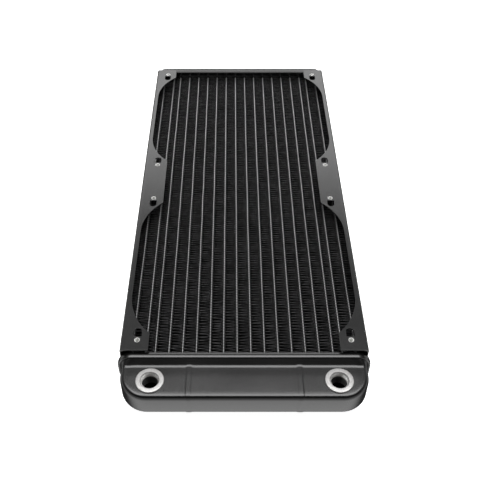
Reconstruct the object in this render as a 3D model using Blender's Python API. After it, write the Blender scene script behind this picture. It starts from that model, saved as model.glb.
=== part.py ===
"""Liquid cooling radiator for two 200 mm fans, with both hose ports on one end tank.

The core lies flat: its tubes run along Y, and +Z is the fan face that the ports open towards.
The origin is at the centre of the bounding box's base. Units are metres.
"""

import math

import bmesh
import bpy

MM = 0.001

# Fan pattern: two square hole patterns, side by side along Y.
FAN_PITCH = 200 * MM
FAN_HOLE_SPACING = 154 * MM

# Overall
THICKNESS = 34.5 * MM
GAP = 0.3 * MM  # clearance at every soldered face
SHARP_ANGLE = 35  # degrees; a smaller turn between two faces is shaded smooth

# Ends of the tanks, from the middle of the core
PORT_TANK_REACH = 221 * MM
FAR_TANK_REACH = 204 * MM
CORE_Y = (PORT_TANK_REACH - FAR_TANK_REACH) / 2

# Side channels: folded sheet with a web and two flanges
SHEET = 1.2 * MM
CHANNEL_OUTER_X = 89 * MM
CHANNEL_HALF_LENGTH = 186.2 * MM
WEB_HALF_LENGTH = 185.5 * MM  # the flanges reach over the headers, the web doesn't
BEND_RADIUS = 2.2 * MM
STRIP_INNER_X = 84.6 * MM  # inner edge of the flange beside a fan opening
PAD_INNER_X = 68.4 * MM  # inner edge of the flange at the screw pads
OPENING_CORNER = 47 * MM
OPENING_HALF_LENGTH = 82.3 * MM  # where the corner arcs would end, past the pads
SCREW_BORE_RADIUS = 1.65 * MM  # tapping bore of an M4 thread
COLLAR_RADIUS = 2.7 * MM
COLLAR_DEPTH = 2 * MM
WINDOW_RADIUS = 2.9 * MM
WINDOW_OFFSET = 7.75 * MM  # from a screw hole to the centre of the window's round end
WINDOW_STRAIGHT = 4.5 * MM  # length of its straight sides

# Header plates
HEADER_START = 185.8 * MM
HEADER_DEPTH = 4.5 * MM
HEADER_HALF_WIDTH = 91 * MM
HEADER_INSET = 2.6 * MM  # below the flange plane
HEADER_CORNER = 11 * MM
HEADER_EDGE = 0.8 * MM

# Core
TUBE_PITCH = 9.9 * MM
TUBE_THICKNESS = 1.8 * MM
TUBE_HEIGHT = 16 * MM
TUBE_WALL = 0.3 * MM
TUBE_HALF_LENGTH = 189.5 * MM
REGULAR_TUBES_EACH_SIDE = 7
NARROW_STEP = 6.8 * MM  # from the last regular tube to the next one out
FIN_HEIGHT = 15.2 * MM
FIN_HALF_LENGTH = 185.4 * MM
FIN_SHEET = 0.5 * MM
FIN_FOLDS = 24

# Tanks
TANK_WALL = 1.2 * MM
TANK_HALF_WIDTH = 87.6 * MM
TANK_INSET = 7.5 * MM  # the port face's depth below the flange plane
TANK_CORNER = 24 * MM  # plan radius at the outer corners of a tank long enough for it
TANK_EDGE = 3.5 * MM  # radius between the flat faces and the wall
TANK_MOUTH_START = 187.3 * MM
NECK_START = 190.5 * MM
NECK_END = 196 * MM

# Ports: G1/4 internal thread
PORT_X = 66 * MM
PORT_REACH = 207 * MM
PORT_RING_RADIUS = 10 * MM
PORT_BODY_RADIUS = 8.4 * MM
PORT_BORE_RADIUS = 5.72 * MM
PORT_MOUTH_RADIUS = 6.85 * MM
PORT_PROUD = 1.3 * MM
PORT_CHAMFER = 0.3 * MM
PORT_DEPTH = 11 * MM
PORT_SIDES = 32

BLACK = (0.045, 0.045, 0.047)
FIN_BLACK = (0.02, 0.02, 0.021)
TUBE_GREY = (0.16, 0.16, 0.165)
BARE_METAL = (0.62, 0.61, 0.59)


def clear_scene():
    for obj in list(bpy.data.objects):
        bpy.data.objects.remove(obj)


def make_material(name, colour, roughness, metallic):
    material = bpy.data.materials.new(name)
    material.use_nodes = True
    shader = material.node_tree.nodes["Principled BSDF"]
    shader.inputs["Base Color"].default_value = (*colour, 1)
    shader.inputs["Roughness"].default_value = roughness
    shader.inputs["Metallic"].default_value = metallic
    return material


def add_object(name, vertices, faces, colour, roughness=0.45, metallic=0.0):
    """A mesh object of closed bodies, with its faces turned outwards."""
    mesh = bpy.data.meshes.new(name)
    mesh.from_pydata([tuple(v) for v in vertices], [], faces)
    bm = bmesh.new()
    bm.from_mesh(mesh)
    bmesh.ops.recalc_face_normals(bm, faces=bm.faces)
    if bm.calc_volume(signed=True) < 0:
        bmesh.ops.reverse_faces(bm, faces=bm.faces)
    bm.to_mesh(mesh)
    bm.free()
    mesh.shade_smooth()
    mesh.set_sharp_from_angle(angle=math.radians(SHARP_ANGLE))
    mesh.materials.append(make_material(name, colour, roughness, metallic))
    obj = bpy.data.objects.new(name, mesh)
    bpy.context.scene.collection.objects.link(obj)
    return obj


def cut(obj, cutter):
    add_boolean(obj, cutter, "DIFFERENCE")


def add_boolean(obj, other, operation):
    other.hide_render = True
    other.display_type = "WIRE"
    modifier = obj.modifiers.new(operation.title(), "BOOLEAN")
    modifier.operation = operation
    modifier.object = other


def ring_faces(rings, closed=True):
    """Quads between successive rings of vertex numbers."""
    faces = []
    for a, b in zip(rings, rings[1:]):
        steps = len(a) if closed else len(a) - 1
        for i in range(steps):
            j = (i + 1) % len(a)
            faces.append((a[i], a[j], b[j], b[i]))
    return faces


def prism(outline, low, high, place):
    """Vertices and faces of an outline extruded from low to high; place(u, v, w) gives a point."""
    n = len(outline)
    vertices = [place(u, v, w) for w in (low, high) for u, v in outline]
    rings = [list(range(n)), list(range(n, 2 * n))]
    faces = ring_faces(rings) + [tuple(rings[0]), tuple(rings[1])]
    return vertices, faces


def joined(shapes):
    """Several (vertices, faces) as one."""
    vertices, faces = [], []
    for more, more_faces in shapes:
        faces += [tuple(i + len(vertices) for i in face) for face in more_faces]
        vertices += more
    return vertices, faces


def along_y(u, v, w):
    return (u, w, v)


def along_z(u, v, w):
    return (u, v, w)


def arc(cx, cy, radius, start_deg, end_deg, steps):
    """Points on an arc, both ends included."""
    angles = [math.radians(start_deg + (end_deg - start_deg) * i / steps) for i in range(steps + 1)]
    return [(cx + radius * math.cos(a), cy + radius * math.sin(a)) for a in angles]


def circle(cx, cy, radius, sides):
    return arc(cx, cy, radius, 0, 360, sides)[:-1]


def rounded_rectangle(half_width, low, high, radius, steps):
    points = []
    for cx, cy, start in (
        (half_width - radius, high - radius, 0),
        (radius - half_width, high - radius, 90),
        (radius - half_width, low + radius, 180),
        (half_width - radius, low + radius, 270),
    ):
        points += arc(cx, cy, radius, start, start + 90, steps)
    return points


# Side channels


def channel_section():
    """The folded sheet's outline in X and Z, for the +X side."""
    inner = BEND_RADIUS - SHEET
    corner_x = CHANNEL_OUTER_X - BEND_RADIUS
    top, bottom = THICKNESS - BEND_RADIUS, BEND_RADIUS
    return (
        [(PAD_INNER_X, 0)]
        + arc(corner_x, bottom, BEND_RADIUS, -90, 0, 3)
        + arc(corner_x, top, BEND_RADIUS, 0, 90, 3)
        + [(PAD_INNER_X, THICKNESS), (PAD_INNER_X, THICKNESS - SHEET)]
        + arc(corner_x, top, inner, 90, 0, 3)
        + arc(corner_x, bottom, inner, 0, -90, 3)
        + [(PAD_INNER_X, SHEET)]
    )


def fan_opening(centre_y):
    """One fan opening over the +X flange: a square with large round corners, as far as the pads."""
    corner = OPENING_CORNER
    x = STRIP_INNER_X - corner
    rise = OPENING_HALF_LENGTH - corner
    turn = math.degrees(math.acos((PAD_INNER_X - SHEET - x) / corner))
    return arc(x, centre_y - rise, corner, -turn, 0, 8) + arc(x, centre_y + rise, corner, 0, turn, 8)


def window(x, y, towards):
    """A window beside a screw hole: round towards the fan's centre, flat towards the hole."""
    start = 0 if towards > 0 else 180
    round_end = arc(x, y, WINDOW_RADIUS, start, start + 180, 8)
    foot = y - towards * WINDOW_STRAIGHT
    return round_end + [(x - towards * WINDOW_RADIUS, foot), (x + towards * WINDOW_RADIUS, foot)]


def web_notch(end):
    """What the web is cut back by at one end of a channel, as a solid on the +X side."""
    low_x, high_x = STRIP_INNER_X, CHANNEL_OUTER_X + SHEET
    near = CORE_Y + end * WEB_HALF_LENGTH
    far = CORE_Y + end * (CHANNEL_HALF_LENGTH + SHEET)
    outline = [(low_x, near), (high_x, near), (high_x, far), (low_x, far)]
    clear = HEADER_INSET - 2 * GAP
    return prism(outline, clear, THICKNESS - clear, along_z)


def screw_places():
    """(y, direction towards its fan's centre) of the four screw holes along a flange."""
    places = []
    for fan in (-1, 1):
        for side in (-1, 1):
            y = CORE_Y + fan * FAN_PITCH / 2 + side * FAN_HOLE_SPACING / 2
            places.append((y, -side))
    return places


def mirrored(shape, side):
    vertices, faces = shape
    return [(side * x, y, z) for x, y, z in vertices], faces


def side_channel(name, side):
    ends = (CORE_Y - CHANNEL_HALF_LENGTH, CORE_Y + CHANNEL_HALF_LENGTH)
    shape = prism(channel_section(), *ends, along_y)
    channel = add_object(name, *mirrored(shape, side), BLACK)

    x = FAN_HOLE_SPACING / 2
    half = SHEET / 2
    spans = (
        (half, SHEET + COLLAR_DEPTH),
        (THICKNESS - SHEET - COLLAR_DEPTH, THICKNESS - half),
    )
    collars = []
    for y, _ in screw_places():
        outline = circle(x, y, COLLAR_RADIUS, 14)
        collars += [prism(outline, *span, along_z) for span in spans]
    collar_object = add_object(name + "_collars", *mirrored(joined(collars), side), BLACK)
    add_boolean(channel, collar_object, "UNION")

    through = (-SHEET, THICKNESS + SHEET)
    cuts = [
        prism(fan_opening(CORE_Y + fan * FAN_PITCH / 2), *through, along_z)
        for fan in (-1, 1)
    ]
    cuts += [web_notch(end) for end in (-1, 1)]
    for y, towards in screw_places():
        cuts.append(prism(circle(x, y, SCREW_BORE_RADIUS, 10), *through, along_z))
        centre = y + towards * WINDOW_OFFSET
        cuts.append(prism(window(x, centre, towards), *through, along_z))
    cut(channel, add_object(name + "_cuts", *mirrored(joined(cuts), side), BLACK))
    return channel


# Core


def tube_places():
    """X of every tube, from left to right."""
    side = [TUBE_PITCH * (i + 0.5) for i in range(REGULAR_TUBES_EACH_SIDE)]
    side.append(side[-1] + NARROW_STEP)
    side.append(side[-1] + TUBE_PITCH)
    return [-x for x in reversed(side)] + side


def tube_section(x, grow):
    """A flat tube's outline in X and Z, made larger all round by grow."""
    radius = TUBE_THICKNESS / 2 + grow
    middle = THICKNESS / 2
    reach = (TUBE_HEIGHT - TUBE_THICKNESS) / 2
    return arc(x, middle + reach, radius, 0, 180, 5) + arc(x, middle - reach, radius, 180, 360, 5)


def tube(name, x):
    outer = tube_section(x, 0)
    inner = tube_section(x, -TUBE_WALL)
    ends = (CORE_Y - TUBE_HALF_LENGTH, CORE_Y + TUBE_HALF_LENGTH)
    n = len(outer)
    vertices = [(u, y, v) for y in ends for u, v in outer]
    vertices += [(u, y, v) for y in reversed(ends) for u, v in inner]
    rings = [list(range(n * k, n * (k + 1))) for k in range(4)]
    return add_object(name, vertices, ring_faces(rings + rings[:1]), TUBE_GREY)


def fin_strip(name, low_x, high_x):
    """A folded strip between two tubes, standing for many finer folds."""
    pitch = 2 * FIN_HALF_LENGTH / FIN_FOLDS
    half = FIN_SHEET * math.hypot(pitch, high_x - low_x) / pitch / 2
    line = []
    for i in range(FIN_FOLDS + 1):
        x = high_x - half if i % 2 else low_x + half
        line.append((x, CORE_Y - FIN_HALF_LENGTH + i * pitch))
    outline = [(x - half, y) for x, y in line] + [(x + half, y) for x, y in reversed(line)]
    low = (THICKNESS - FIN_HEIGHT) / 2
    return add_object(name, *prism(outline, low, low + FIN_HEIGHT, along_z), FIN_BLACK)


def header_plate(name, end):
    """The tube sheet and its rim, which stands towards the tank."""

    def place(u, v, w):
        return (u, CORE_Y + end * w, v)

    low, high = HEADER_INSET, THICKNESS - HEADER_INSET
    finish = HEADER_START + HEADER_DEPTH
    rounding = [
        (HEADER_EDGE - u, HEADER_START + HEADER_EDGE - v)
        for u, v in arc(0, 0, HEADER_EDGE, 90, 0, 2)
    ]
    rings, vertices = [], []
    for inset, reach in rounding + [(0, finish), (SHEET, finish), (SHEET, HEADER_START + SHEET)]:
        outline = rounded_rectangle(
            HEADER_HALF_WIDTH - inset, low + inset, high - inset, HEADER_CORNER - inset, 5
        )
        rings.append(list(range(len(vertices), len(vertices) + len(outline))))
        vertices += [place(u, v, reach) for u, v in outline]
    faces = ring_faces(rings) + [tuple(rings[0]), tuple(rings[-1])]
    header = add_object(name, vertices, faces, BLACK)
    through = (HEADER_START - SHEET, HEADER_START + 2 * SHEET)  # past both faces of the sheet
    slots = [prism(tube_section(x, GAP), *through, place) for x in tube_places()]
    cut(header, add_object(name + "_slots", *joined(slots), BLACK))
    return header


# Tanks


def tank_outline(reach, grow):
    """A tank's plan outline from the end of its neck at -X round to +X, as (x, distance)."""
    corner = min(TANK_CORNER, reach - NECK_END - GAP)
    radius = corner + grow
    x, y = TANK_HALF_WIDTH - corner, reach - corner
    side = [(-(x + radius), NECK_END)]
    return side + arc(-x, y, radius, 180, 90, 6) + arc(x, y, radius, 90, 0, 6) + [(x + radius, NECK_END)]


def tank_skin(reach, grow):
    """Rings over one skin of a tank, from its lower face round its wall to its upper face.

    grow is 0 on the outer skin and minus the wall's thickness on the inner one.
    Each ring is a list of (x, distance, z) from the -X side round the end to the +X side.
    """
    low, high = TANK_INSET - grow, THICKNESS - TANK_INSET + grow
    edge = TANK_EDGE + grow
    rings = []
    for centre, start, end in ((low + edge, -90, 0), (high - edge, 0, 90)):
        for shift, rise in arc(0, 0, edge, start, end, 3):
            outline = tank_outline(reach, grow - edge + shift)
            rings.append([(x, y, centre + rise) for x, y in outline])
    return rings


def tank_neck(grow):
    """The neck's wide end and the mouth that goes into the header's rim; loops of (x, distance, z)."""
    mouth_width = HEADER_HALF_WIDTH - SHEET - GAP + grow
    mouth_low = HEADER_INSET + SHEET + GAP - grow
    corner = HEADER_CORNER - SHEET - GAP + grow
    upper = arc(mouth_width - corner, THICKNESS - mouth_low - corner, corner, 0, 90, 3)
    lower = arc(mouth_width - corner, mouth_low + corner, corner, -90, 0, 3)
    half = lower + upper
    loop = [(-x, z) for x, z in half] + [(x, z) for x, z in reversed(half)]
    return [
        [(x, NECK_START, z) for x, z in loop],
        [(x, TANK_MOUTH_START, z) for x, z in loop],
    ]


def tank_surface(reach, grow):
    """Vertices and faces of one open skin, and the numbers of its mouth's loop."""
    rings = tank_skin(reach, grow)
    vertices, numbers = [], []
    for ring in rings:
        numbers.append(list(range(len(vertices), len(vertices) + len(ring))))
        vertices += ring
    faces = ring_faces(numbers, closed=False)
    loop = [ring[0] for ring in numbers] + [ring[-1] for ring in reversed(numbers)]
    faces += [tuple(numbers[0]), tuple(numbers[-1])]
    for section in tank_neck(grow):
        nxt = list(range(len(vertices), len(vertices) + len(section)))
        vertices += section
        faces += ring_faces([loop, nxt])
        loop = nxt
    return vertices, faces, loop


def tank(name, end, reach, bores):
    """A drawn pan, open towards its header."""
    outer, outer_faces, outer_loop = tank_surface(reach, 0)
    inner, inner_faces, inner_loop = tank_surface(reach, -TANK_WALL)
    shift = len(outer)
    faces = outer_faces + [tuple(i + shift for i in face) for face in inner_faces]
    faces += ring_faces([outer_loop, [i + shift for i in inner_loop]])
    vertices = [(x, CORE_Y + end * y, z) for x, y, z in outer + inner]
    pan = add_object(name, vertices, faces, BLACK)
    if bores:
        face = THICKNESS - TANK_INSET
        holes = []
        for side in (-1, 1):
            hole = circle(side * PORT_X, CORE_Y + end * PORT_REACH, PORT_BODY_RADIUS + GAP, PORT_SIDES)
            holes.append(prism(hole, face - 3 * TANK_WALL, face + TANK_WALL, along_z))
        cut(pan, add_object(name + "_bores", *joined(holes), BLACK))
    return pan


def tank_baffle(name, end, reach):
    """The wall inside the port tank, on its middle plane."""
    inset = TANK_INSET + TANK_WALL + GAP
    edge = TANK_EDGE - TANK_WALL
    finish = reach - TANK_WALL - GAP
    mouth = HEADER_INSET + 2 * SHEET + 3 * GAP
    start = HEADER_START + SHEET + GAP
    half = [
        (start, mouth),
        (NECK_START, mouth),
        (NECK_END, inset),
    ] + arc(finish - edge, inset + edge, edge, -90, 0, 3)
    outline = half + [(y, THICKNESS - z) for y, z in reversed(half)]

    def place(u, v, w):
        return (w, CORE_Y + end * u, v)

    return add_object(name, *prism(outline, -SHEET / 2, SHEET / 2, place), TUBE_GREY)


def port_boss(name, x, y):
    """A threaded ring: a flange on the tank's face and a body through it."""
    face = THICKNESS - TANK_INSET
    top = face + PORT_PROUD
    mouth_depth = PORT_MOUTH_RADIUS - PORT_BORE_RADIUS
    profile = [
        (PORT_MOUTH_RADIUS, top),
        (PORT_RING_RADIUS - PORT_CHAMFER, top),
        (PORT_RING_RADIUS, top - PORT_CHAMFER),
        (PORT_RING_RADIUS, face + GAP),
        (PORT_BODY_RADIUS, face + GAP),
        (PORT_BODY_RADIUS, face - PORT_DEPTH),
        (PORT_BORE_RADIUS, face - PORT_DEPTH),
        (PORT_BORE_RADIUS, top - mouth_depth),
    ]
    rings, vertices = [], []
    for radius, z in profile:
        rings.append(list(range(len(vertices), len(vertices) + PORT_SIDES)))
        vertices += [(u, v, z) for u, v in circle(x, y, radius, PORT_SIDES)]
    return add_object(name, vertices, ring_faces(rings + rings[:1]), BARE_METAL, 0.35, 1.0)


def build():
    clear_scene()
    side_channel("side_channel_left", -1)
    side_channel("side_channel_right", 1)

    places = tube_places()
    for i, x in enumerate(places, 1):
        tube(f"tube_{i:02d}", x)
    clear = TUBE_THICKNESS / 2 + GAP
    edge = CHANNEL_OUTER_X - SHEET - GAP
    lows = [-edge] + [x + clear for x in places]
    highs = [x - clear for x in places] + [edge]
    for i, (low_x, high_x) in enumerate(zip(lows, highs), 1):
        fin_strip(f"fin_strip_{i:02d}", low_x, high_x)

    header_plate("header_plate_port_end", -1)
    header_plate("header_plate_far_end", 1)
    tank("tank_port_end", -1, PORT_TANK_REACH, bores=True)
    tank("tank_far_end", 1, FAR_TANK_REACH, bores=False)
    tank_baffle("tank_baffle", -1, PORT_TANK_REACH)
    for word, side in (("left", -1), ("right", 1)):
        port_boss(f"port_boss_{word}", side * PORT_X, CORE_Y - PORT_REACH)


build()
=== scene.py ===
"""The looks of the liquid cooling radiator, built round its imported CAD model.

Each piece replaces one CAD node, or is a detail on one, and stays in that node's place. Sizes are in metres.
"Out" is a distance along Y from the middle of the core towards the end tank that a piece belongs to.
"""

import math
import random

import bmesh
import bpy
import numpy as np
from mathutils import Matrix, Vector


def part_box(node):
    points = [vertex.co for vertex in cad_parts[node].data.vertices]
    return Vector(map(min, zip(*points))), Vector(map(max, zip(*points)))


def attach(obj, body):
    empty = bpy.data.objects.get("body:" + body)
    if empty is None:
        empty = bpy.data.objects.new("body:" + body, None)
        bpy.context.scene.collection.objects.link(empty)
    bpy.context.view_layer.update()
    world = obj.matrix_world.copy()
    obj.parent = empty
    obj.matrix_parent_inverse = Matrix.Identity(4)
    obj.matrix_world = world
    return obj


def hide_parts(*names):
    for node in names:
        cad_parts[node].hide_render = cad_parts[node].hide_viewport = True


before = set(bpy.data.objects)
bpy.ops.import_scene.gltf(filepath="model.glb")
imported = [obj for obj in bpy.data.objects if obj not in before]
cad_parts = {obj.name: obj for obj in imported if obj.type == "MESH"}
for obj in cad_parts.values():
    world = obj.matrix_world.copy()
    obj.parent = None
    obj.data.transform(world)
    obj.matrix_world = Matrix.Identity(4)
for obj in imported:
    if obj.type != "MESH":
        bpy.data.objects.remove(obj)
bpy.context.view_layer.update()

MM = 0.001
TAU = 2 * math.pi
WELD = 1e-7  # vertices closer than this are made one

# Places read from the CAD frame
channel_low, channel_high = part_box("side_channel_right")
header_low, header_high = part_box("header_plate_port_end")
boss_low, boss_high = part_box("port_boss_right")
tube_low, tube_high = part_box("tube_01")
fin_low, fin_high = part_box("fin_strip_01")
port_tank_low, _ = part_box("tank_port_end")
_, far_tank_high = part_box("tank_far_end")

TOP = channel_high.z
MIDDLE = TOP / 2
CORE_Y = (channel_low.y + channel_high.y) / 2
CHANNEL_OUTER_X = channel_high.x
PAD_INNER_X = channel_low.x
CHANNEL_HALF_LENGTH = (channel_high.y - channel_low.y) / 2
HEADER_HALF_WIDTH = header_high.x
HEADER_HALF_HEIGHT = (header_high.z - header_low.z) / 2
HEADER_START = CORE_Y - header_high.y
HEADER_FINISH = CORE_Y - header_low.y
TUBE_HALF_HEIGHT = (tube_high.z - tube_low.z) / 2
TUBE_RADIUS = (tube_high.x - tube_low.x) / 2
FIN_HALF_LENGTH = (fin_high.y - fin_low.y) / 2
PORT_X = (boss_low.x + boss_high.x) / 2
PORT_Y = (boss_low.y + boss_high.y) / 2
PORT_RING_RADIUS = (boss_high.x - boss_low.x) / 2
PORT_TANK_REACH = CORE_Y - port_tank_low.y
FAR_TANK_REACH = far_tank_high.y - CORE_Y


def numbers_of(prefix):
    """1, 2 and so on, one for each CAD node whose name starts with the prefix."""
    return range(1, sum(name.startswith(prefix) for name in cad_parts) + 1)


TUBES = numbers_of("tube_")
FIN_STRIPS = numbers_of("fin_strip_")

# Sheet metal
SHEET = 1.2 * MM
EDGE_BEVEL = 0.25 * MM

# Side channels
FAN_PITCH = 200 * MM
FAN_HOLE_SPACING = 154 * MM
STRIP_INNER_X = 84.6 * MM
OPENING_CORNER = 47 * MM
OPENING_HALF_LENGTH = 82.3 * MM
BEND_RADIUS = 2.2 * MM
WEB_HALF_LENGTH = 185.5 * MM
WEB_CLEARANCE = 2 * MM
COLLAR_RADIUS = 2.6 * MM
COLLAR_DEPTH = 2 * MM
SCREW_SEAT_RADIUS = 1.95 * MM
SCREW_SIDES = 40
WINDOW_RADIUS = 2.9 * MM
WINDOW_OFFSET = 7.75 * MM  # from a screw hole to the centre of the window's round end
WINDOW_STRAIGHT = 4.5 * MM

# M4 threads in the channels
SCREW_MINOR = 1.4 * MM
SCREW_MAJOR = 1.65 * MM
SCREW_MOUTH = 1.7 * MM
SCREW_SINK = 0.04 * MM  # how far the bare metal starts under the flange's coated face
SCREW_THREAD_PITCH = 0.7 * MM
SCREW_THREAD_ROWS = 10  # rings of vertices in one turn

# Header plates
HEADER_CORNER = 11 * MM
HEADER_EDGE = 0.4 * MM
HEADER_CROWN = (-18, 17)  # degrees of slope at the crown's two sides
HEADER_LIP = 0.15 * MM
SOLDER_GAP = 0.3 * MM

# Tanks
TANK_WALL = 1.2 * MM
TANK_HALF_WIDTH = 87.6 * MM
TANK_HALF_HEIGHT = 9.75 * MM
TANK_CORNER = 24 * MM
TANK_EDGE = 3.5 * MM
MOUTH_START = 187.3 * MM
SLOPE_START = 189.7 * MM
SLOPE_ANGLE = 35  # degrees
SLOPE_CREST_RADIUS = 0.8 * MM
SLOPE_FOOT_RADIUS = 4.5 * MM
FACE_RISE = 0.6 * MM  # of the flat face, from its edge to the foot of the slope
FACE_SIDE = 9 * MM  # the rise builds up over this from each side
FOOT_DIP = 0.25 * MM  # taken off again right beside the slope
FOOT_DIP_LENGTH = 6 * MM
RIB_X = 39 * MM
RIB_HEIGHT = 0.3 * MM
RIB_HALF_FLAT = 1 * MM
RIB_SIDE = 1.5 * MM
RIB_REACH = RIB_HALF_FLAT + RIB_SIDE + 0.1 * MM  # the mesh is fine as far as this from a rib's middle
RIB_CLEARANCE = 4 * MM  # and coarse from here
RIB_RUN_IN = 3 * MM
# The edge's quarter turns below and above the middle, as (-1 or 1, degrees)
TANK_EDGE_TURNS = [(-1, a) for a in np.linspace(-90, 0, 8)] + [(1, a) for a in np.linspace(0, 90, 8)]

# Ports
PORT_BODY_RADIUS = 8.4 * MM
PORT_MINOR = 5.75 * MM
PORT_MAJOR = 6.58 * MM
PORT_MOUTH = 6.85 * MM
PORT_EDGE = 0.4 * MM
PORT_SIDES = 72
PORT_THREAD_PITCH = 1.337 * MM
PORT_THREAD_ROWS = 12  # rings of vertices in one turn
PORT_FACE_DEPTH = 0.3 * MM  # the metal is brighter from here, partly a painted highlight down the thread's wall
PORT_SHADE_DEPTH = 4.2 * MM  # and is dark from here: painted shade deep in the bore

# Tubes
TUBE_WALL = 0.3 * MM
TUBE_WEAR_AND_HIGHLIGHT = 0.08 * MM  # depth of the grey edge band: wear, and partly a painted highlight on the rounded top
TUBE_STATIONS = 90
TUBE_SEED = 100

# Fins
FIN_PITCH = 1.3 * MM
FIN_SHEET = 0.12 * MM
FIN_WEAR_AND_HIGHLIGHT = 0.12 * MM  # depth of the grey edge band: wear, and partly a painted highlight on the lit top edges
FIN_BOND = 0.27 * MM  # how far each fold reaches past the CAD strip, to touch its tubes
FIN_SEED = 700
CREST_DEPTH = 0.36  # of a fold's pitch
CREST_RADIUS = 0.22  # of a fold's pitch
CREST_ANGLES = (-66, -24, 24, 66)  # degrees

# Camera
CAMERA_LENS = 53.06
CAMERA_X = -9 * MM
CAMERA_BACK = 487.25 * MM  # from the middle of the core
CAMERA_ABOVE = 408.98 * MM  # the upper fan face
CAMERA_DIP = 44.8  # degrees below the horizontal
CAMERA_SHIFT = (0.0175, 0.00042)  # of the frame's width


# Mesh tools


def on_circle(cx, cy, radius, degrees):
    """The point of a circle at an angle."""
    angle = math.radians(degrees)
    return cx + radius * math.cos(angle), cy + radius * math.sin(angle)


def arc(cx, cy, radius, start, end, steps):
    """Points on an arc, both ends included; angles in degrees."""
    return [on_circle(cx, cy, radius, start + (end - start) * i / steps) for i in range(steps + 1)]


def circle(cx, cy, radius, sides):
    """Points round a circle, each once."""
    return arc(cx, cy, radius, 0, 360, sides)[:-1]


def rounded_rectangle(half_width, half_height, radius, steps):
    """Points round a rectangle about the origin, with an arc of steps at each corner."""
    points = []
    for turn, (sx, sz) in enumerate(((1, 1), (-1, 1), (-1, -1), (1, -1))):
        cx, cz = sx * (half_width - radius), sz * (half_height - radius)
        points += arc(cx, cz, radius, 90 * turn, 90 * turn + 90, steps)
    return points


def smooth(t):
    """0 up to 0 and 1 from 1, with an S-curve between."""
    t = min(1, max(0, t))
    return t * t * (3 - 2 * t)


def ring_faces(rings, closed=True):
    """Quads between successive rings of vertex numbers."""
    faces = []
    for a, b in zip(rings, rings[1:]):
        for i in range(len(a) if closed else len(a) - 1):
            j = (i + 1) % len(a)
            faces.append((a[i], a[j], b[j], b[i]))
    return faces


def stacked(rings_of_points):
    """(vertices, rings of their numbers) of a stack of rings of points."""
    vertices, rings = [], []
    for points in rings_of_points:
        rings.append(list(range(len(vertices), len(vertices) + len(points))))
        vertices += points
    return vertices, rings


def prism(outline, low, high, place):
    """An outline extruded from low to high; place(u, v, w) gives a point."""
    vertices, rings = stacked([[place(u, v, w) for u, v in outline] for w in (low, high)])
    return vertices, ring_faces(rings) + [tuple(rings[0]), tuple(rings[1])]


def joined(shapes):
    """Several (vertices, faces) as one."""
    vertices, faces = [], []
    for more, more_faces in shapes:
        faces += [tuple(i + len(vertices) for i in face) for face in more_faces]
        vertices += more
    return vertices, faces


def along_y(x, z, y):
    return (x, y, z)


def along_z(x, y, z):
    return (x, y, z)


def mirrored(shape, side):
    """A shape as it is for side 1, and its mirror image across the plane X = 0 for side -1."""
    vertices, faces = shape
    return [(side * x, y, z) for x, y, z in vertices], faces


def mesh_object(name, vertices, faces, material=None, sharp=32):
    """An object whose faces point outwards, shaded smooth up to an angle of sharp degrees."""
    mesh = bpy.data.meshes.new(name)
    mesh.from_pydata([tuple(v) for v in vertices], [], faces)
    bm = bmesh.new()
    bm.from_mesh(mesh)
    bmesh.ops.remove_doubles(bm, verts=bm.verts, dist=WELD)
    bmesh.ops.dissolve_degenerate(bm, edges=bm.edges, dist=WELD)
    bmesh.ops.recalc_face_normals(bm, faces=bm.faces)
    if bm.calc_volume(signed=True) < 0:
        bmesh.ops.reverse_faces(bm, faces=bm.faces)
    bm.to_mesh(mesh)
    bm.free()
    mesh.shade_smooth()
    mesh.set_sharp_from_angle(angle=math.radians(sharp))
    if material:
        mesh.materials.append(material)
    obj = bpy.data.objects.new(name, mesh)
    bpy.context.scene.collection.objects.link(obj)
    return obj


def add_boolean(obj, other, operation):
    """Adds the UNION or DIFFERENCE of an object with another as a modifier."""
    modifier = obj.modifiers.new(operation.title(), "BOOLEAN")
    modifier.operation = operation
    modifier.object = other
    modifier.solver = "EXACT"


def add_bevel(obj, width):
    """Rounds the edges that turn by more than 40 degrees."""
    bevel = obj.modifiers.new("Bevel", "BEVEL")
    bevel.width = width
    bevel.segments = 2
    bevel.limit_method = "ANGLE"
    bevel.angle_limit = math.radians(40)
    bevel.use_clamp_overlap = False
    bevel.harden_normals = True


def apply_modifiers(obj, *helpers):
    """Keeps the mesh that the modifiers give, and removes the helper objects that they used."""
    graph = bpy.context.evaluated_depsgraph_get()
    mesh = bpy.data.meshes.new_from_object(obj.evaluated_get(graph))
    obj.modifiers.clear()
    obj.data = mesh
    for helper in helpers:
        bpy.data.objects.remove(helper)


def finished(obj, slot, *nodes):
    """Rides on the one body and stands for its CAD nodes. The slot is not used."""
    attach(obj, "root")
    if nodes:
        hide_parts(*nodes)
    return obj


# Materials


def grey(level):
    return (level, level, level)


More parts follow.
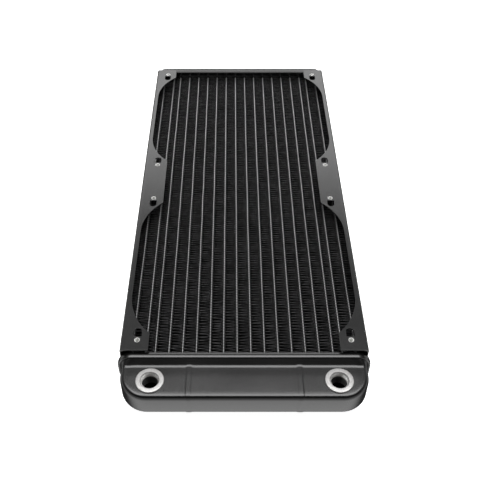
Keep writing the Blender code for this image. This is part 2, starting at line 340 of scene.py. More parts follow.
class Shader:
    """A material with a Principled BSDF, and short calls for its nodes."""

    def __init__(self, name, colour, roughness, metallic=0.0, specular=0.5):
        self.material = bpy.data.materials.new(name)
        self.material.use_nodes = True
        self.tree = self.material.node_tree
        self.bsdf = self.tree.nodes["Principled BSDF"]
        self.bsdf.inputs["Base Color"].default_value = (*colour, 1)
        self.bsdf.inputs["Roughness"].default_value = roughness
        self.bsdf.inputs["Metallic"].default_value = metallic
        self.bsdf.inputs["Specular IOR Level"].default_value = specular
        self.place = self.node("ShaderNodeTexCoord").outputs["Object"]

    def node(self, kind, **settings):
        node = self.tree.nodes.new(kind)
        for key, value in settings.items():
            setattr(node, key, value)
        return node

    def link(self, source, target):
        self.tree.links.new(source, target)

    def coordinate(self, axis):
        """X, Y or Z in the object's own space."""
        split = self.node("ShaderNodeSeparateXYZ")
        self.link(self.place, split.inputs["Vector"])
        return split.outputs[axis]

    def stretched(self, scale):
        mapping = self.node("ShaderNodeMapping")
        mapping.inputs["Scale"].default_value = scale
        self.link(self.place, mapping.inputs["Vector"])
        return mapping.outputs["Vector"]

    def noise(self, scale, detail=2.0, stretch=None, roughness=0.5):
        node = self.node("ShaderNodeTexNoise")
        node.inputs["Scale"].default_value = scale
        node.inputs["Detail"].default_value = detail
        node.inputs["Roughness"].default_value = roughness
        self.link(self.stretched(stretch) if stretch else self.place, node.inputs["Vector"])
        return node.outputs["Fac"]

    def spread(self, source, low, high, to_low, to_high):
        """source from low..high mapped to to_low..to_high."""
        node = self.node("ShaderNodeMapRange")
        for key, value in (("From Min", low), ("From Max", high), ("To Min", to_low), ("To Max", to_high)):
            node.inputs[key].default_value = value
        self.link(source, node.inputs["Value"])
        return node.outputs["Result"]

    def math(self, operation, a, b):
        node = self.node("ShaderNodeMath", operation=operation)
        for socket, value in zip(node.inputs, (a, b)):
            if isinstance(value, (int, float)):
                socket.default_value = value
            else:
                self.link(value, socket)
        return node.outputs["Value"]

    def colours(self, factor, *stops):
        """A colour ramp; each stop is (position, colour)."""
        ramp = self.node("ShaderNodeValToRGB")
        elements = ramp.color_ramp.elements
        while len(elements) < len(stops):
            elements.new(0.5)
        for element, (position, colour) in zip(elements, stops):
            element.position = position
            element.color = (*colour, 1)
        self.link(factor, ramp.inputs["Fac"])
        self.link(ramp.outputs["Color"], self.bsdf.inputs["Base Color"])

    def bump(self, height, distance):
        node = self.node("ShaderNodeBump")
        node.inputs["Distance"].default_value = distance
        node.inputs["Strength"].default_value = 1
        self.link(height, node.inputs["Height"])
        self.link(node.outputs["Normal"], self.bsdf.inputs["Normal"])


def powder_coat():
    """Satin black powder coat: fine orange peel, and a slow change of sheen."""
    base, roughness = 0.003, 0.21
    shader = Shader("black_coat", grey(base), roughness)
    grain = shader.noise(2600, 2.0)
    cloud = shader.noise(22, 3.0)
    shader.colours(
        cloud, (0.3, (base * 0.8, base * 0.8, base * 0.82)), (0.7, (base * 1.25, base * 1.22, base * 1.2))
    )
    sheen = shader.spread(cloud, 0.3, 0.7, roughness - 0.02, roughness + 0.03)
    speck = shader.spread(grain, 0.3, 0.7, -0.03, 0.03)
    shader.link(shader.math("ADD", sheen, speck), shader.bsdf.inputs["Roughness"])
    shader.bump(grain, 0.02 * MM)
    return shader.material


def wear_and_highlight_edge(shader, half_height, depth):
    """1 at the top and bottom edges of the core, and 0 from depth below them: the lighter edge band, which is
    wear and partly a painted highlight.
    """
    height = shader.math("ABSOLUTE", shader.math("SUBTRACT", shader.coordinate("Z"), MIDDLE), 0)
    return shader.spread(height, half_height - depth, half_height - 0.2 * depth, 0, 1)


def fin_coat():
    """Thin matt black over folded aluminium strip, with grey metal along its top and bottom edges: wear, and
    partly a painted highlight on the lit top edges.
    """
    black = grey(0.003)
    shader = Shader("fin_coat", black, 0.5, specular=0.15)
    patches = shader.noise(260, 3.0)
    edge = wear_and_highlight_edge(shader, (fin_high.z - fin_low.z) / 2, FIN_WEAR_AND_HIGHLIGHT)
    # The lighter edge band is partly a painted highlight on the fins' lit top edges.
    wear_and_highlight = shader.math("MULTIPLY", edge, shader.spread(patches, 0.35, 0.65, 0.35, 1))
    shader.colours(wear_and_highlight, (0, black), (1, (0.12, 0.12, 0.122)))
    shader.link(shader.math("MULTIPLY", wear_and_highlight, 0.8), shader.bsdf.inputs["Metallic"])
    shader.link(shader.spread(patches, 0.3, 0.7, 0.38, 0.5), shader.bsdf.inputs["Roughness"])
    return shader.material


def tube_coat():
    """A thin black coat on drawn tube, with grey metal along its edges: wear and partly a painted highlight
    on the rounded top, dimmed in beads at the folds' bends as partly painted shade where the fold crests meet
    it.
    """
    black = grey(0.005)
    shader = Shader("tube_coat", black, 0.3, specular=0.2)
    drawn = shader.noise(900, 3.0, stretch=(1, 0.05, 1))
    patches = shader.noise(120, 3.0, stretch=(1, 0.5, 1))
    edge = wear_and_highlight_edge(shader, TUBE_HALF_HEIGHT, TUBE_WEAR_AND_HIGHLIGHT)
    # Beads at the fin pitch: partly painted shade where the fold crests meet the tube's edge.
    angle = shader.math("MULTIPLY", shader.coordinate("Y"), TAU / (2 * FIN_PITCH))
    beads_and_crest_shade = shader.spread(shader.math("SINE", angle, 0), -0.6, 0.6, 0.45, 1)
    # The grey edge band is partly a painted highlight on the tube's rounded top.
    wear_and_highlight = shader.math("MULTIPLY", edge, shader.spread(patches, 0.3, 0.7, 0.7, 1))
    wear_and_highlight = shader.math("MULTIPLY", wear_and_highlight, beads_and_crest_shade)
    shader.colours(wear_and_highlight, (0, black), (1, (0.4, 0.4, 0.405)))
    shader.link(shader.math("MULTIPLY", wear_and_highlight, 0.85), shader.bsdf.inputs["Metallic"])
    shader.link(shader.spread(drawn, 0.3, 0.7, 0.28, 0.38), shader.bsdf.inputs["Roughness"])
    shader.bump(drawn, 0.01 * MM)
    return shader.material


def speckled_metal(name, colour, roughness, grain_scale):
    """(shader, speck, a darker colour) of a satin bare metal, finely speckled."""
    shader = Shader(name, colour, roughness, 1.0)
    speck = shader.noise(grain_scale, 3.0, roughness=0.7)
    sheen = shader.spread(speck, 0.3, 0.7, roughness + 0.1, roughness - 0.06)
    shader.link(sheen, shader.bsdf.inputs["Roughness"])
    shader.bump(speck, 0.03 * MM)
    return shader, speck, tuple(0.6 * part for part in colour)


def bare_metal(name, colour, roughness, grain_scale):
    """Satin bare metal, finely speckled."""
    shader, speck, darker = speckled_metal(name, colour, roughness, grain_scale)
    shader.colours(speck, (0.32, darker), (0.55, colour))
    return shader.material


def port_metal_and_painted_shade():
    """Turned metal, brighter down the thread as partly a painted highlight, and dark further down as painted
    shade deep in the bore.
    """
    face, shade_from = boss_high.z - PORT_FACE_DEPTH, boss_high.z - PORT_SHADE_DEPTH
    colour, bright, bore_painted_shade = (0.31, 0.306, 0.302), (0.85, 0.84, 0.82), grey(0.006)
    fade = 0.8 * MM
    shader, speck, darker = speckled_metal("port_metal", colour, 0.38, 900)
    height = shader.coordinate("Z")
    # Deeper than this the colour and metal give way to painted shade in the bore.
    bare = shader.spread(height, shade_from - fade, shade_from, 0, 1)
    level = shader.math("MULTIPLY", bare, shader.spread(speck, 0.3, 0.6, 0.75, 1))
    # Brighter below the face: partly a painted highlight on the thread's wall.
    level = shader.math("MULTIPLY", level, shader.spread(height, face - fade, face, 1, 0.6))
    shader.colours(level, (0, bore_painted_shade), (0.42, darker), (0.6, colour), (1, bright))
    shader.link(bare, shader.bsdf.inputs["Metallic"])
    return shader.material


# Side channels


def channel_section():
    """The folded sheet's outline in X and Z, for the +X side."""
    inner = BEND_RADIUS - SHEET
    corner_x = CHANNEL_OUTER_X - BEND_RADIUS
    low, high = BEND_RADIUS, TOP - BEND_RADIUS
    return (
        [(PAD_INNER_X, 0)]
        + arc(corner_x, low, BEND_RADIUS, -90, 0, 8)
        + arc(corner_x, high, BEND_RADIUS, 0, 90, 8)
        + [(PAD_INNER_X, TOP), (PAD_INNER_X, TOP - SHEET)]
        + arc(corner_x, high, inner, 90, 0, 8)
        + arc(corner_x, low, inner, 0, -90, 8)
        + [(PAD_INNER_X, SHEET)]
    )


def fan_opening(centre_y):
    """A fan's opening over the +X flange: a square with large round corners, as far as the pads."""
    corner = OPENING_CORNER
    x = STRIP_INNER_X - corner
    rise = OPENING_HALF_LENGTH - corner
    turn = math.degrees(math.acos((PAD_INNER_X - SHEET - x) / corner))
    return arc(x, centre_y - rise, corner, -turn, 0, 28) + arc(x, centre_y + rise, corner, 0, turn, 28)


def window(x, y, towards):
    """A window beside a screw hole: round towards the fan's centre, flat towards the hole."""
    start = 0 if towards > 0 else 180
    round_end = arc(x, y, WINDOW_RADIUS, start, start + 180, 24)
    foot = y - towards * WINDOW_STRAIGHT
    return round_end + [(x - towards * WINDOW_RADIUS, foot), (x + towards * WINDOW_RADIUS, foot)]


def screw_places():
    """(y, direction towards its fan's centre) of the screw holes along a flange."""
    return [
        (CORE_Y + fan * FAN_PITCH / 2 + side * FAN_HOLE_SPACING / 2, -side)
        for fan in (-1, 1)
        for side in (-1, 1)
    ]


def web_notch(end):
    """The block that is cut out of the web at one end of a channel."""
    low_x, high_x = STRIP_INNER_X, CHANNEL_OUTER_X + SHEET
    near = CORE_Y + end * WEB_HALF_LENGTH
    far = CORE_Y + end * (CHANNEL_HALF_LENGTH + SHEET)
    outline = [(low_x, near), (high_x, near), (high_x, far), (low_x, far)]
    return prism(outline, WEB_CLEARANCE, TOP - WEB_CLEARANCE, along_z)


def side_channel(word, side, coat):
    """Folded sheet with two flanges, cut out round the fans, with collars and windows at its screw holes."""
    x = FAN_HOLE_SPACING / 2
    ends = (CORE_Y - CHANNEL_HALF_LENGTH, CORE_Y + CHANNEL_HALF_LENGTH)
    shape = mirrored(prism(channel_section(), *ends, along_y), side)
    channel = mesh_object(f"channel_{word}", *shape, coat)

    spans = ((SHEET / 2, SHEET + COLLAR_DEPTH), (TOP - SHEET - COLLAR_DEPTH, TOP - SHEET / 2))
    collars = [
        prism(circle(x, y, COLLAR_RADIUS, SCREW_SIDES), *span, along_z)
        for y, _ in screw_places()
        for span in spans
    ]
    collar_object = mesh_object("collars", *mirrored(joined(collars), side))
    add_boolean(channel, collar_object, "UNION")

    through = (-SHEET, TOP + SHEET)
    cuts = [prism(fan_opening(CORE_Y + fan * FAN_PITCH / 2), *through, along_z) for fan in (-1, 1)]
    cuts += [web_notch(end) for end in (-1, 1)]
    for y, towards in screw_places():
        cuts.append(prism(circle(x, y, SCREW_SEAT_RADIUS, SCREW_SIDES), *through, along_z))
        cuts.append(prism(window(x, y + towards * WINDOW_OFFSET, towards), *through, along_z))
    cutter = mesh_object("cuts", *mirrored(joined(cuts), side))
    add_boolean(channel, cutter, "DIFFERENCE")
    add_bevel(channel, EDGE_BEVEL)
    apply_modifiers(channel, collar_object, cutter)
    return finished(channel, "black_coat", f"side_channel_{word}")


# Threaded rings


def thread_rings(mouth_z, down, length, minor, major, mouth, pitch, sides, rows_per_turn):
    """Rings down a threaded hole's wall, from the cone at its mouth; down is -1 or 1.

    Of each turn, a tenth is flat crest, a tenth is flat root and the rest is the two flanks.
    """
    rings = []
    count = round(length / pitch * rows_per_turn)
    for i in range(count + 1):
        depth = length * i / count
        ring = []
        for k in range(sides):
            angle = TAU * k / sides
            phase = (depth / pitch + down * k / sides) % 1
            rise = min(1, max(0, 2.5 * abs(phase - 0.5) - 0.125))
            radius = max(minor + (major - minor) * rise, mouth - depth)
            ring.append((radius * math.cos(angle), radius * math.sin(angle), mouth_z + down * depth))
        rings.append(ring)
    return rings


def threaded_ring(x, y, wall, outside, sides):
    """A solid turned ring at (x, y) with a threaded wall; outside is a list of (radius, z)."""
    rings = wall[::-1] + [[(u, v, z) for u, v in circle(0, 0, radius, sides)] for radius, z in outside]
    placed = [[(x + u, y + v, w) for u, v, w in ring] for ring in rings]
    vertices, numbers = stacked(placed)
    return vertices, ring_faces(numbers + numbers[:1])


def screw_threads(word, side, metal):
    """The bare tapped threads of one channel's screw holes, in both flanges."""
    length = SHEET + COLLAR_DEPTH - SCREW_SINK
    shapes = []
    for y, _ in screw_places():
        for mouth_z, down in ((TOP - SCREW_SINK, -1), (SCREW_SINK, 1)):
            wall = thread_rings(
                mouth_z, down, length, SCREW_MINOR, SCREW_MAJOR, SCREW_MOUTH, SCREW_THREAD_PITCH,
                SCREW_SIDES, SCREW_THREAD_ROWS,
            )
            outside = [(SCREW_SEAT_RADIUS, mouth_z), (SCREW_SEAT_RADIUS, mouth_z + down * length)]
            shapes.append(threaded_ring(side * FAN_HOLE_SPACING / 2, y, wall, outside, SCREW_SIDES))
    vertices, faces = joined(shapes)
    return finished(mesh_object(f"screw_threads_{word}", vertices, faces, metal), "port_metal")


def port(word, side, metal):
    """A port: a ring on the tank's face, with its body and a G1/4 thread below it."""
    seat_z = MIDDLE + TANK_HALF_HEIGHT
    low, high = boss_low.z, boss_high.z
    wall = thread_rings(
        high, -1, high - low, PORT_MINOR, PORT_MAJOR, PORT_MOUTH, PORT_THREAD_PITCH,
        PORT_SIDES, PORT_THREAD_ROWS,
    )
    rim = arc(PORT_RING_RADIUS - PORT_EDGE, high - PORT_EDGE, PORT_EDGE, 90, 0, 4)
    outside = rim + [(PORT_RING_RADIUS, seat_z), (PORT_BODY_RADIUS, seat_z), (PORT_BODY_RADIUS, low)]
    vertices, faces = threaded_ring(0, 0, wall, outside, PORT_SIDES)
    ring = mesh_object(f"port_{word}", vertices, faces, metal)
    ring.location = (side * PORT_X, PORT_Y, 0)
    return finished(ring, "port_metal", f"port_boss_{word}")


# Core


def stadium(x, half_height, radius, steps):
    """A flat tube's outline in X and Z, with an arc of steps at its top and at its foot."""
    reach = half_height - radius
    return arc(x, MIDDLE + reach, radius, 0, 180, steps) + arc(x, MIDDLE - reach, radius, 180, 360, steps)


def flat_tube(number, coat):
    """A drawn flat tube, open at both ends and very slightly uneven along its length."""
    node = f"tube_{number:02d}"
    low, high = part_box(node)
    x = (low.x + high.x) / 2
    rng = random.Random(TUBE_SEED + number)
    waves = [(rng.uniform(0.015, 0.05) * MM, rng.uniform(3, 9), rng.uniform(0, TAU)) for _ in range(3)]
    rings = []
    for wall in (0, TUBE_WALL):
        for i in range(TUBE_STATIONS + 1):
            t = i / TUBE_STATIONS if wall == 0 else 1 - i / TUBE_STATIONS
            shift = sum(size * math.sin(turns * TAU * t + phase) for size, turns, phase in waves)
            shift *= math.sin(math.pi * t)
            outline = stadium(x + shift, TUBE_HALF_HEIGHT - wall, TUBE_RADIUS - wall, 8)
            rings.append([(u, low.y + (high.y - low.y) * t, v) for u, v in outline])
    vertices, numbers = stacked(rings)
    tube = mesh_object(f"flat_{node}", vertices, ring_faces(numbers + numbers[:1]), coat, sharp=60)
    return finished(tube, "tube_metal", node)


def fold_lines(low_x, high_x, seed):
    """The folded strip's middle line at its top and at its foot.

    Each fin leans a little, turn about, and drifts and bows by chance, all in shares of a fold's pitch.
    """
    rng = random.Random(seed)
    folds = round(2 * FIN_HALF_LENGTH / FIN_PITCH)
    pitch = 2 * FIN_HALF_LENGTH / folds
    turn = CREST_DEPTH * pitch
    waves = [(rng.uniform(0.05, 0.16) * pitch, rng.uniform(8, 40), rng.uniform(0, TAU)) for _ in range(4)]
    lines = [], []
    for i in range(folds):
        side = 1 if i % 2 else -1
        middle = CORE_Y - FIN_HALF_LENGTH + (i + 0.5) * pitch
        t = i / folds
        drift = sum(size * math.sin(turns * TAU * t + phase) for size, turns, phase in waves)
        drift = drift * smooth(min(t, 1 - t) * 20) + rng.uniform(-0.06, 0.06) * pitch
        lean = side * rng.uniform(0.16, 0.28) * pitch
        bow = rng.uniform(-0.14, 0.14) * pitch
        start_x, end_x = (low_x, high_x) if side < 0 else (high_x, low_x)
        inward = 1 if end_x > start_x else -1
        reach = abs(end_x - start_x) - 2 * turn
        for line, sign in zip(lines, (1, -1)):
            for share in (0, 0.25, 0.5, 0.75, 1):
                y = middle + drift + sign * lean
                y += (share - 0.5) * (pitch - 1.2 * turn) + bow * math.sin(math.pi * share)
                line.append((start_x + inward * (turn + reach * share), y))
            if i < folds - 1:
                crest_y = middle + drift + pitch / 2
                for angle in CREST_ANGLES:
                    a = math.radians(angle)
                    x = end_x - inward * turn * (1 - math.cos(a))
                    line.append((x, crest_y + CREST_RADIUS * pitch * math.sin(a)))
    return lines


def folded_strip(number, coat):
    """One strip of fins, folded back and forth between its two neighbours."""
    node = f"fin_strip_{number:02d}"
    low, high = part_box(node)
    half = FIN_SHEET / 2
    lines = fold_lines(low.x - FIN_BOND + half, high.x + FIN_BOND - half, FIN_SEED + number)
    sheets = []
    for line, z in zip(lines, (high.z, low.z)):
        line = np.array(line)
        ahead = np.gradient(line, axis=0)
        ahead /= np.linalg.norm(ahead, axis=1)[:, None]
        across = np.stack([-ahead[:, 1], ahead[:, 0]], axis=1) * half
        sheets.append([[(float(x), float(y), z) for x, y in side] for side in (line + across, line - across)])
    top, foot = sheets
    vertices, numbers = stacked([top[0], foot[0], foot[1], top[1]])
    faces = ring_faces(numbers + numbers[:1], closed=False)
    faces += [tuple(ring[end] for ring in numbers) for end in (0, -1)]
    strip = mesh_object(f"folded_{node}", vertices, faces, coat, sharp=50)
    return finished(strip, "fin_coat", node)


# Header plates


def crown_profile():
    """(inset, out) over the rim of a header plate: a shallow crown between two rounded edges."""
    back, front = [math.radians(a) for a in HEADER_CROWN]
    edges = HEADER_EDGE * (2 + math.sin(back) - math.sin(front))
    crown = (HEADER_FINISH - HEADER_START - edges) / (math.sin(front) - math.sin(back))
    middle = HEADER_START + HEADER_EDGE * (1 + math.sin(back)) - crown * math.sin(back)
    points = []
    for start, finish, steps in ((-math.pi / 2, back, 5), (back, front, 10), (front, math.pi / 2, 5)):
        for i in range(1 if points else 0, steps + 1):
            a = start + (finish - start) * i / steps
            slope = min(front, max(back, a))
            inset = crown * (1 - math.cos(slope)) + HEADER_EDGE * (math.cos(slope) - math.cos(a))
            out = middle + crown * math.sin(slope) + HEADER_EDGE * (math.sin(a) - math.sin(slope))
            points.append((inset, out))
    return points


def header_plate(word, end, coat):
    """A tube sheet whose rim stands towards the tank, with a crowned top and rounded edges."""
    inside = SHEET + 2 * HEADER_LIP
    lip = [(inside - HEADER_LIP, HEADER_FINISH), (inside, HEADER_FINISH - HEADER_LIP)]
    profile = crown_profile() + lip + [(inside, HEADER_START + SHEET)]
    rings = []
    for inset, out in profile:
        outline = rounded_rectangle(
            HEADER_HALF_WIDTH - inset, HEADER_HALF_HEIGHT - inset, HEADER_CORNER - inset, 14
        )
        rings.append([(u, CORE_Y + end * out, MIDDLE + v) for u, v in outline])
    vertices, numbers = stacked(rings)
    faces = ring_faces(numbers) + [tuple(numbers[0]), tuple(numbers[-1])]
    header = mesh_object(f"header_{word}", vertices, faces, coat)

    def place(u, v, w):
        return (u, CORE_Y + end * w, v)

    slots = []
    for number in TUBES:
        low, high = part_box(f"tube_{number:02d}")
        outline = stadium(
            (low.x + high.x) / 2, TUBE_HALF_HEIGHT + SOLDER_GAP / 3, TUBE_RADIUS + SOLDER_GAP / 3, 8
        )
        slots.append(prism(outline, HEADER_START - SHEET, HEADER_START + 2 * SHEET, place))
    cutter = mesh_object("slots", *joined(slots))
    add_boolean(header, cutter, "DIFFERENCE")
    apply_modifiers(header, cutter)
    return finished(header, "black_coat", f"header_plate_{word}")


# Tanks


def neck_profile():
    """(out, share of the way down) from the tank's mouth to the foot of its slope, and the slope's end."""
    crest, foot = SLOPE_CREST_RADIUS, SLOPE_FOOT_RADIUS
    angle = math.radians(SLOPE_ANGLE)
    fall = HEADER_HALF_HEIGHT - SHEET - SOLDER_GAP - TANK_HALF_HEIGHT
    crest_out = SLOPE_START + crest * math.sin(angle)
    crest_fall = crest * (1 - math.cos(angle))
    straight_fall = fall - crest_fall - foot * (1 - math.cos(angle))
    run = straight_fall / math.tan(angle)
    finish = crest_out + run + foot * math.sin(angle)
    points = [(MOUTH_START, 0.0)] + arc(SLOPE_START, crest, crest, -90, SLOPE_ANGLE - 90, 4)
    points += [(crest_out + run * i / 4, crest_fall + straight_fall * i / 4) for i in range(1, 4)]
    points += arc(finish, fall - foot, foot, 90 + SLOPE_ANGLE, 90, 10)
    return [(out, down / fall) for out, down in points], finish


def rib_rise(x, out, start):
    """How far the two ribs raise a tank's skin at a place, from start on."""
    side = smooth(1 - (abs(abs(x) - RIB_X) - RIB_HALF_FLAT) / RIB_SIDE)
    return RIB_HEIGHT * side * smooth((out - start) / RIB_RUN_IN)


def face_rise(x, share, from_foot):
    """How far a tank's face stands out: most near the foot of the slope, with a dip right beside it."""
    sides = smooth((TANK_HALF_WIDTH - TANK_EDGE - abs(x)) / FACE_SIDE)
    return sides * (FACE_RISE * share - FOOT_DIP * (1 - smooth(from_foot / FOOT_DIP_LENGTH)))


def end_stations(half):
    """X places along a tank's end from -half to half, close together at the ribs."""
    fine = np.linspace(-RIB_REACH, RIB_REACH, 17)
    stations = sorted(np.concatenate([np.linspace(-half, half, 25), fine - RIB_X, fine + RIB_X]))
    distances = [abs(abs(x) - RIB_X) for x in stations]
    near = RIB_REACH + 0.01 * MM
    return [float(x) for x, d in zip(stations, distances) if d <= near or d > RIB_CLEARANCE]


def edge_rows(reach, start):
    """Rows of (x, out, z) round a tank's rounded edge, from its lower face to its upper one.

    Each row goes from the neck at -X round to the neck at +X. The X places of its straight part come too.
    """
    corner = min(TANK_CORNER, 0.8 * (reach - start))
    straight = TANK_HALF_WIDTH - corner
    centre = reach - corner
    along = end_stations(straight)
    rows = []
    for sign, degrees in TANK_EDGE_TURNS:
        angle = math.radians(degrees)
        z = MIDDLE + sign * (TANK_HALF_HEIGHT - TANK_EDGE) + TANK_EDGE * math.sin(angle)
        radius = corner - TANK_EDGE + TANK_EDGE * math.cos(angle)
        left = [(-(straight + radius), start + (centre - start) * i / 3) for i in range(3)]
        left += arc(-straight, centre, radius, 180, 90, 16)[:-1]
        right = [(-x, out) for x, out in reversed(left)]
        outline = left + [(x, centre + radius) for x in along] + right
        rows.append([(x, out, z) for x, out in outline])
    return rows, along


def foot_places(lead, along):
    """X places along the foot of the slope: those of the straight part, and lead more at each side."""
    flat = TANK_HALF_WIDTH - TANK_EDGE
    first = [-flat + (flat + along[0]) * i / lead for i in range(lead)]
    return first + along + [-x for x in reversed(first)]


def flat_face(row, foot_x, finish):
    """Rows of points over a tank's flat face, from the row at its edge to the foot of the slope."""
    rows = []
    steps = 9
    for k in range(1, steps + 1):
        t = k / steps
        points = []
        for (x, out, z), fx in zip(row, foot_x):
            out += (finish - out) * t
            rise = face_rise(fx, t, out - finish)
            points.append((x + (fx - x) * t, out, z + math.copysign(rise, z - MIDDLE)))
        rows.append(points)
    return rows


def neck_rings(neck, foot_x):
    """Rings of points round a tank's neck, from the foot of the slope back to the mouth."""
    inset = SHEET + SOLDER_GAP
    mouth_width = HEADER_HALF_WIDTH - inset
    mouth_height = HEADER_HALF_HEIGHT - inset
    mouth_corner = HEADER_CORNER - inset
    rings = []
    for out, share in reversed(neck[:-1]):
        width = mouth_width + (TANK_HALF_WIDTH - mouth_width) * share
        height = mouth_height + (TANK_HALF_HEIGHT - mouth_height) * share
        radius = mouth_corner + (TANK_EDGE - mouth_corner) * share
        flat = width - radius
        side = [on_circle(flat, sign * (height - radius), radius, turn) for sign, turn in TANK_EDGE_TURNS]
        top = [(x * flat / -foot_x[0], height + share * face_rise(x, 1, 0)) for x in foot_x[1:-1]]
        loop = [(-u, v) for u, v in side] + top + side[::-1] + [(u, -v) for u, v in reversed(top)]
        rings.append([(u, out, MIDDLE + v) for u, v in loop])
    return rings


def tank_shape(reach):
    """Vertices and faces of a tank's outer skin, open at its mouth, as (x, out, z), and the slope's end."""
    neck, finish = neck_profile()
    rows, along = edge_rows(reach, finish)
    vertices, numbers = stacked(rows)
    faces = ring_faces(numbers, closed=False)

    def carry_on(first, more_rows, closed):
        """Adds rows after the vertices numbered first, and gives the numbers of the last row."""
        more, ids = stacked(more_rows)
        ids = [[i + len(vertices) for i in row] for row in ids]
        vertices.extend(more)
        faces.extend(ring_faces([first] + ids, closed))
        return ids[-1]

    foot_x = foot_places((len(rows[0]) - len(along)) // 2, along)
    lower = carry_on(numbers[0], flat_face(rows[0], foot_x, finish), closed=False)
    upper = carry_on(numbers[-1], flat_face(rows[-1], foot_x, finish), closed=False)
    left = [ids[0] for ids in numbers]
    right = [ids[-1] for ids in numbers]
    foot = left + upper[1:-1] + right[::-1] + lower[1:-1][::-1]
    carry_on(foot, neck_rings(neck, foot_x), closed=True)
    return vertices, faces, finish


def turn_outwards(bm):
    """Flips the faces of an open skin whose highest point looks down."""
    bm.normal_update()
    if max(bm.verts, key=lambda v: v.co.z).normal.z < 0:
        bmesh.ops.reverse_faces(bm, faces=bm.faces)
        bm.normal_update()


def emboss_ribs(bm, end, start):
    """Moves a tank's skin out at the two ribs, from start on."""
    moves = [v.normal * rib_rise(v.co.x, end * (v.co.y - CORE_Y), start) for v in bm.verts]
    for v, move in zip(bm.verts, moves):
        v.co += move


def port_holes():
    """What is cut out of a tank's face for the two ports."""
    face = MIDDLE + TANK_HALF_HEIGHT
    radius = PORT_BODY_RADIUS + SOLDER_GAP / 3
    holes = [
        prism(circle(side * PORT_X, PORT_Y, radius, 64), face - 3 * TANK_WALL, face + TANK_WALL, along_z)
        for side in (-1, 1)
    ]
    return mesh_object("port_holes", *joined(holes))


def tank(word, end, reach, ports, coat):
    """A drawn pan, open towards its header; the one with the ports has two embossed ribs over it."""
    vertices, faces, finish = tank_shape(reach)
    pan = mesh_object(f"pan_{word}", [(x, CORE_Y + end * out, z) for x, out, z in vertices], faces, coat)
    bm = bmesh.new()
    bm.from_mesh(pan.data)
    turn_outwards(bm)
    if ports:
        emboss_ribs(bm, end, finish - RIB_RUN_IN)
    bm.to_mesh(pan.data)
    bm.free()
    pan.data.shade_smooth()
    wall = pan.modifiers.new("Wall", "SOLIDIFY")
    wall.thickness = TANK_WALL
    wall.offset = -1
    cutters = [port_holes()] if ports else []
    for cutter in cutters:
        add_boolean(pan, cutter, "DIFFERENCE")
    apply_modifiers(pan, *cutters)
    pan.data.set_sharp_from_angle(angle=math.radians(40))
    return finished(pan, "black_coat", f"tank_{word}")


# Stage


def make_floor():
    """A plain pale floor, which glossy reflections don't see."""
    bpy.ops.mesh.primitive_plane_add(size=12, location=(0, 0, 0))
    floor = bpy.context.object
    floor.name = "floor"
    shader = Shader("floor", (0.8, 0.8, 0.8), 0.9)
    shader.bsdf.inputs["Emission Color"].default_value = (1, 1, 1, 1)
    shader.bsdf.inputs["Emission Strength"].default_value = 0.92
    floor.data.materials.append(shader.material)
    floor.visible_glossy = False


def soft_light(name, place, target, size, radiance):
    """A soft box of that radiance, aimed at target; size is (width, height)."""
    light = bpy.data.lights.new(name, "AREA")
    light.shape = "RECTANGLE"
    light.size, light.size_y = size
    light.energy = radiance * math.pi * size[0] * size[1]
    box = bpy.data.objects.new(name, light)
    box.location = place
    box.rotation_euler = (Vector(target) - Vector(place)).to_track_quat("-Z", "Y").to_euler()
    box.visible_camera = False
    bpy.context.scene.collection.objects.link(box)


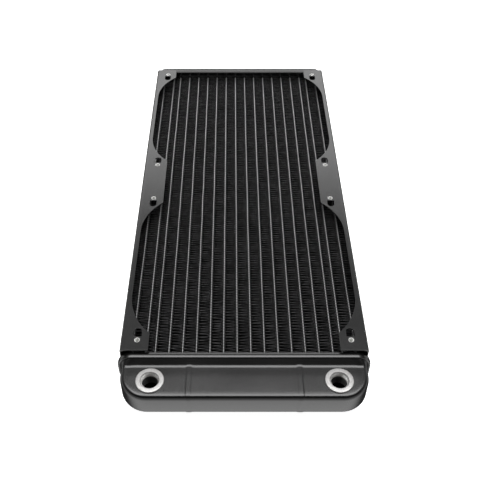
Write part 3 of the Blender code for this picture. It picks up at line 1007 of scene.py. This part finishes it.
def make_world():
    """White round the horizon, dim overhead and to both sides, and dark above the side that the ports face.

    What is below the horizon is seen in reflections only.
    """
    world = bpy.data.worlds.new("studio")
    bpy.context.scene.world = world
    world.use_nodes = True
    tree = world.node_tree
    background = tree.nodes["Background"]
    place = tree.nodes.new("ShaderNodeTexCoord")
    split = tree.nodes.new("ShaderNodeSeparateXYZ")
    tree.links.new(place.outputs["Generated"], split.inputs["Vector"])

    def ramp(source, low, high, to_low, to_high):
        node = tree.nodes.new("ShaderNodeMapRange")
        node.interpolation_type = "SMOOTHSTEP"
        for key, value in (("From Min", low), ("From Max", high), ("To Min", to_low), ("To Max", to_high)):
            node.inputs[key].default_value = value
        tree.links.new(source, node.inputs["Value"])
        return node.outputs["Result"]

    def between(factor, low, high):
        mix = tree.nodes.new("ShaderNodeMix")
        mix.data_type = "FLOAT"
        for key, value in (("Factor", factor), ("A", low), ("B", high)):
            if isinstance(value, (int, float)):
                mix.inputs[key].default_value = value
            else:
                tree.links.new(value, mix.inputs[key])
        return mix.outputs["Result"]

    width = tree.nodes.new("ShaderNodeMath")
    width.operation = "ABSOLUTE"
    tree.links.new(split.outputs["X"], width.inputs[0])
    above = ramp(split.outputs["Y"], -0.65, 0.35, 0.03, 0.6)
    below = ramp(split.outputs["Y"], -0.6, 0.15, 2.3, 0.05)
    upper = between(ramp(split.outputs["Z"], 0.27, 0.45, 1, 0), above, 1.05)
    dimmed = between(ramp(width.outputs["Value"], 0.4, 0.85, 1, 0.25), 0, upper)
    upper = between(ramp(split.outputs["Z"], 0.22, 0.4, 0, 1), upper, dimmed)
    strength = between(ramp(split.outputs["Z"], -0.3, -0.12, 0, 1), below, upper)
    tree.links.new(strength, background.inputs["Strength"])
    background.inputs["Color"].default_value = (1, 1, 1, 1)


def make_lights():
    """A wide soft box over the radiator, and a dimmer one behind it."""
    aim = (0, CORE_Y, TOP)
    soft_light("overhead", (0, -0.02, 1.1), aim, (1.3, 0.7), 6.5)
    soft_light("behind", (0, 1.35, 0.88), aim, (1.8, 0.5), 2.8)


def make_camera():
    """A camera in front of the ports, looking down along the core."""
    data = bpy.data.cameras.new("camera")
    data.sensor_width = 36
    data.lens = CAMERA_LENS
    data.shift_x, data.shift_y = CAMERA_SHIFT
    data.clip_start = 0.01
    camera = bpy.data.objects.new("camera", data)
    camera.location = (CAMERA_X, CORE_Y - CAMERA_BACK, TOP + CAMERA_ABOVE)
    camera.rotation_euler = (math.radians(90 - CAMERA_DIP), 0, 0)
    bpy.context.scene.collection.objects.link(camera)
    bpy.context.scene.camera = camera


def build():
    """Makes every piece of the radiator, and gives the baffle inside the tank its metal."""
    coat = powder_coat()
    fins = fin_coat()
    tubes = tube_coat()
    threads = bare_metal("thread_metal", (0.9, 0.9, 0.88), 0.34, 1500)
    ports = port_metal_and_painted_shade()
    inner = bare_metal("inner_metal", (0.4, 0.4, 0.41), 0.45, 900)

    for word, side in (("left", -1), ("right", 1)):
        side_channel(word, side, coat)
        screw_threads(word, side, threads)
        port(word, side, ports)
    for number in TUBES:
        flat_tube(number, tubes)
    for number in FIN_STRIPS:
        folded_strip(number, fins)
    header_plate("port_end", -1, coat)
    header_plate("far_end", 1, coat)
    tank("port_end", -1, PORT_TANK_REACH, True, coat)
    tank("far_end", 1, FAR_TANK_REACH, False, coat)

    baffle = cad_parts["tank_baffle"]
    baffle.data.materials.clear()
    baffle.data.materials.append(inner)


bpy.context.scene.view_settings.view_transform = "Standard"
make_world()
make_lights()
make_camera()
make_floor()
build()
